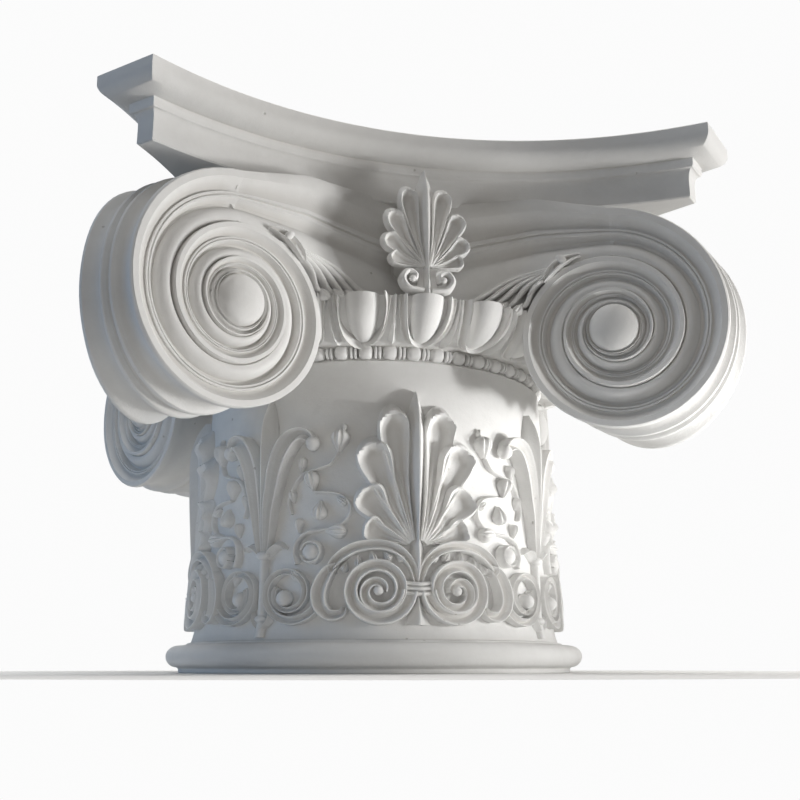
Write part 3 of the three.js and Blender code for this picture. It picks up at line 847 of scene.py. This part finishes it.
def plaster_material():
    """Matte white plaster: clouded, with painted shade in the hollows, worn on the edges, finely
    pitted.
    """
    m = bpy.data.materials.new("cast_plaster")
    m.use_nodes = True
    nodes, links = m.node_tree.nodes, m.node_tree.links
    shader = nodes["Principled BSDF"]
    shader.inputs["Specular IOR Level"].default_value = 0.22
    where = nodes.new("ShaderNodeTexCoord").outputs["Object"]

    def noise(scale, detail=4.0, rough=0.55):
        n = nodes.new("ShaderNodeTexNoise")
        n.inputs["Scale"].default_value = scale
        n.inputs["Detail"].default_value = detail
        n.inputs["Roughness"].default_value = rough
        links.new(where, n.inputs["Vector"])
        return n.outputs["Fac"]

    def span(value, low, high, to_low=0.0, to_high=1.0):
        n = nodes.new("ShaderNodeMapRange")
        ends = {"From Min": low, "From Max": high, "To Min": to_low, "To Max": to_high}
        for name, v in ends.items():
            n.inputs[name].default_value = v
        links.new(value, n.inputs["Value"])
        return n.outputs["Result"]

    def blend(fac, a, b):
        n = nodes.new("ShaderNodeMix")
        n.data_type = "RGBA"
        for socket, v in (("Factor", fac), ("A", a), ("B", b)):
            target = next(i for i in n.inputs if i.name == socket and i.enabled)
            if hasattr(v, "links"):
                links.new(v, target)
            else:
                target.default_value = v
        return next(o for o in n.outputs if o.enabled)

    def maths(kind, a, b):
        n = nodes.new("ShaderNodeMath")
        n.operation = kind
        for i, v in enumerate((a, b)):
            if hasattr(v, "links"):
                links.new(v, n.inputs[i])
            else:
                n.inputs[i].default_value = v
        return n.outputs[0]

    cloud = span(noise(7.0, 3.0), 0.35, 0.65)
    colour = blend(cloud, (0.755, 0.750, 0.735, 1), (0.815, 0.812, 0.800, 1))
    mottle = span(noise(55.0, 5.0, 0.6), 0.38, 0.62)
    colour = blend(maths("MULTIPLY", mottle, 0.35), colour, (0.70, 0.695, 0.68, 1))
    # painted shade in the hollows (a darker, browner colour where the surface curves in), paler
    # worn edges
    edge = nodes.new("ShaderNodeNewGeometry").outputs["Pointiness"]
    hollow = span(edge, 0.49, 0.44)
    # painted shade: darkens and browns the colour in the hollows
    colour = blend(maths("MULTIPLY", hollow, 0.42), colour, (0.55, 0.525, 0.485, 1))
    worn = span(edge, 0.52, 0.58)
    colour = blend(maths("MULTIPLY", worn, 0.35), colour, (0.88, 0.878, 0.868, 1))
    # tiny pits left by air bubbles
    cells = nodes.new("ShaderNodeTexVoronoi")
    cells.inputs["Scale"].default_value = 75.0
    links.new(where, cells.inputs["Vector"])
    pit = span(cells.outputs["Distance"], 0.10, 0.04)
    some = span(noise(23.0, 2.0), 0.60, 0.63)
    pits = maths("MULTIPLY", pit, some)
    colour = blend(maths("MULTIPLY", pits, 0.6), colour, (0.42, 0.40, 0.37, 1))
    links.new(colour, shader.inputs["Base Color"])
    links.new(span(noise(30.0, 3.0), 0.3, 0.7, 0.74, 0.9), shader.inputs["Roughness"])

    grain = maths("MULTIPLY", noise(900.0, 3.0, 0.7), 0.35)
    brush = maths("MULTIPLY", noise(130.0, 4.0, 0.6), 0.9)
    height = maths("ADD", maths("ADD", grain, brush), maths("MULTIPLY", pits, -1.6))
    bump = nodes.new("ShaderNodeBump")
    bump.inputs["Strength"].default_value = 0.42
    bump.inputs["Distance"].default_value = 0.0009
    links.new(height, bump.inputs["Height"])
    links.new(bump.outputs["Normal"], shader.inputs["Normal"])
    return m


def plain_material(name, colour, rough):
    """One even colour, for the floor."""
    m = bpy.data.materials.new(name)
    m.use_nodes = True
    shader = m.node_tree.nodes["Principled BSDF"]
    shader.inputs["Base Color"].default_value = colour
    shader.inputs["Roughness"].default_value = rough
    shader.inputs["Specular IOR Level"].default_value = 0.1
    return m


plaster = plaster_material()

body = Shells()
body.add(*revolve(core_profile()))
body.add(*abacus())
for k in range(EGGS):
    middle = 2 * math.pi * k / EGGS
    body.add(*egg(middle))
    body.add(*frame_ridge(middle))
    body.add(*dart(middle + math.pi / EGGS))
bead_ring(body)
capital = body.object("capital_body", plaster)

corners = Shells()
all_round(corners, [volute(), canal()])
halves(corners, husk())
scrolls = corners.object("capital_volutes", plaster)

front, diagonal = on_neck(0.0), on_neck(math.pi / 4)
large = Shells()
halves(large, neck_palmette(front))
all_round(large, neck_middle(front))
palmettes = large.object("neck_palmettes", plaster)

stems = Shells()
halves(stems, neck_tendril(front))
all_round(stems, lotus_middle(diagonal))
for sign in (1, -1):
    all_round(stems, lotus_half(
        lambda s, z, out, sign=sign: diagonal(np.asarray(s) * sign, z, out)
    ))
tendrils = stems.object("neck_tendrils", plaster)

small = Shells()
halves(small, small_palmette())
all_round(small, small_middle())
fans = small.object("side_palmettes", plaster)

pieces = (capital, scrolls, palmettes, tendrils, fans)
for piece in pieces:
    unevenness(piece, 0.22 if piece in (capital, scrolls) else 0.15)


# Floor, light and camera


FLOOR_R, FLOOR_SIDES = 0.45, 180


def floor():
    """Round pale floor, seen edge on."""
    mesh = bpy.data.meshes.new("floor")
    turns = np.linspace(0, 2 * math.pi, FLOOR_SIDES, endpoint=False)
    rim = [(FLOOR_R * math.cos(a), FLOOR_R * math.sin(a), 0) for a in turns]
    mesh.from_pydata(rim, [], [tuple(range(FLOOR_SIDES))])
    piece = bpy.data.objects.new("floor", mesh)
    bpy.context.scene.collection.objects.link(piece)
    mesh.materials.append(plain_material("floor_white", (0.9, 0.895, 0.885, 1), 0.9))


def area_light(name, place, target, size, power, colour):
    """Soft round light that isn't seen itself."""
    data = bpy.data.lights.new(name, "AREA")
    data.shape = "DISK"
    data.size = size
    data.energy = power
    data.color = colour
    lamp = bpy.data.objects.new(name, data)
    lamp.location = place
    lamp.visible_camera = False
    aim(lamp, target)


def aim(lamp, target):
    """Turns a light towards a spot and puts it in the scene."""
    lamp.rotation_mode = "QUATERNION"
    lamp.rotation_quaternion = (Vector(target) - lamp.location).to_track_quat("-Z", "Y")
    bpy.context.scene.collection.objects.link(lamp)


def spot_light(name, place, target, angle, power):
    """Narrow beam with soft edges; angle is its whole width in degrees."""
    data = bpy.data.lights.new(name, "SPOT")
    data.energy = power
    data.spot_size = math.radians(angle)
    data.spot_blend = 1.0
    data.shadow_soft_size = 0.04
    lamp = bpy.data.objects.new(name, data)
    lamp.location = place
    aim(lamp, target)


def lights():
    """Low light from the right, soft fill all round, and a pale backdrop seen only directly."""
    centre = (0, 0, 0.2)
    area_light("key_low", (2.2, -0.85, -0.44), centre, 0.5, 33, (1.0, 0.992, 0.98))
    area_light("key_high", (2.1, 0.75, 1.2), centre, 1.2, 9, (1.0, 0.99, 0.975))
    area_light("base_right", (1.5, -0.8, 0.1), (0.05, -0.1, 0.02), 0.4, 6.5, (1.0, 0.99, 0.975))
    area_light("fill_front", (-0.5, -2.2, 0.2), centre, 1.2, 4, (1.0, 0.985, 0.965))
    area_light("fill_left", (-2.2, -0.3, 0.3), centre, 1.4, 8, (0.34, 0.62, 1.0))
    area_light("fill_back", (-0.7, 2.4, 1.0), centre, 1.6, 16, (0.97, 0.985, 1.0))
    area_light("overhead", (0, 0, 3.0), (0, 0, 0), 2.4, 62, (1.0, 0.99, 0.97))
    spot_light("neck_beam", (0.8, -0.64, -0.12), (0.10, -0.14, 0.20), 18, 21)
    spot_light("foot_beam", (0.85, -0.72, 0.1), (0.09, -0.14, 0.035), 13, 15)
    world = bpy.data.worlds.new("studio")
    world.use_nodes = True
    nodes, links = world.node_tree.nodes, world.node_tree.links
    ambient = nodes["Background"]
    ambient.inputs["Color"].default_value = (1.0, 0.92, 0.83, 1)
    ambient.inputs["Strength"].default_value = 0.09
    backdrop = nodes.new("ShaderNodeBackground")
    backdrop.inputs["Color"].default_value = (1.0, 1.0, 1.0, 1)
    backdrop.inputs["Strength"].default_value = 0.97
    seen = nodes.new("ShaderNodeLightPath")
    mixed = nodes.new("ShaderNodeMixShader")
    links.new(seen.outputs["Is Camera Ray"], mixed.inputs[0])
    links.new(ambient.outputs[0], mixed.inputs[1])
    links.new(backdrop.outputs[0], mixed.inputs[2])
    links.new(mixed.outputs[0], nodes["World Output"].inputs["Surface"])
    bpy.context.scene.world = world
    bpy.context.scene.view_settings.view_transform = "Standard"


CAMERA_PLACE = (-0.1822, -0.8787, 0.006)
YAW, PITCH, ROLL = 0.2277, 0.2458, -0.0003
FOCAL_PIXELS, PICTURE_PIXELS, SENSOR_MM = 1056.7, 800, 36


def camera():
    """Camera just above the floor, in front and a little to the left."""
    level = math.cos(PITCH)
    ahead = Vector((math.sin(YAW) * level, math.cos(YAW) * level, math.sin(PITCH)))
    right = Vector((math.cos(YAW), -math.sin(YAW), 0))
    up = right.cross(ahead)
    r = right * math.cos(ROLL) + up * math.sin(ROLL)
    u = up * math.cos(ROLL) - right * math.sin(ROLL)
    data = bpy.data.cameras.new("camera")
    data.sensor_width = SENSOR_MM
    data.lens = FOCAL_PIXELS / PICTURE_PIXELS * SENSOR_MM
    data.clip_start = 0.01
    cam = bpy.data.objects.new("camera", data)
    facing = Matrix((r, u, -ahead)).transposed().to_4x4()
    cam.matrix_world = Matrix.Translation(CAMERA_PLACE) @ facing
    bpy.context.scene.collection.objects.link(cam)
    bpy.context.scene.camera = cam


floor()
lights()
camera()

print("triangles", {o.name: sum(len(p.vertices) - 2 for p in o.data.polygons) for o in pieces})
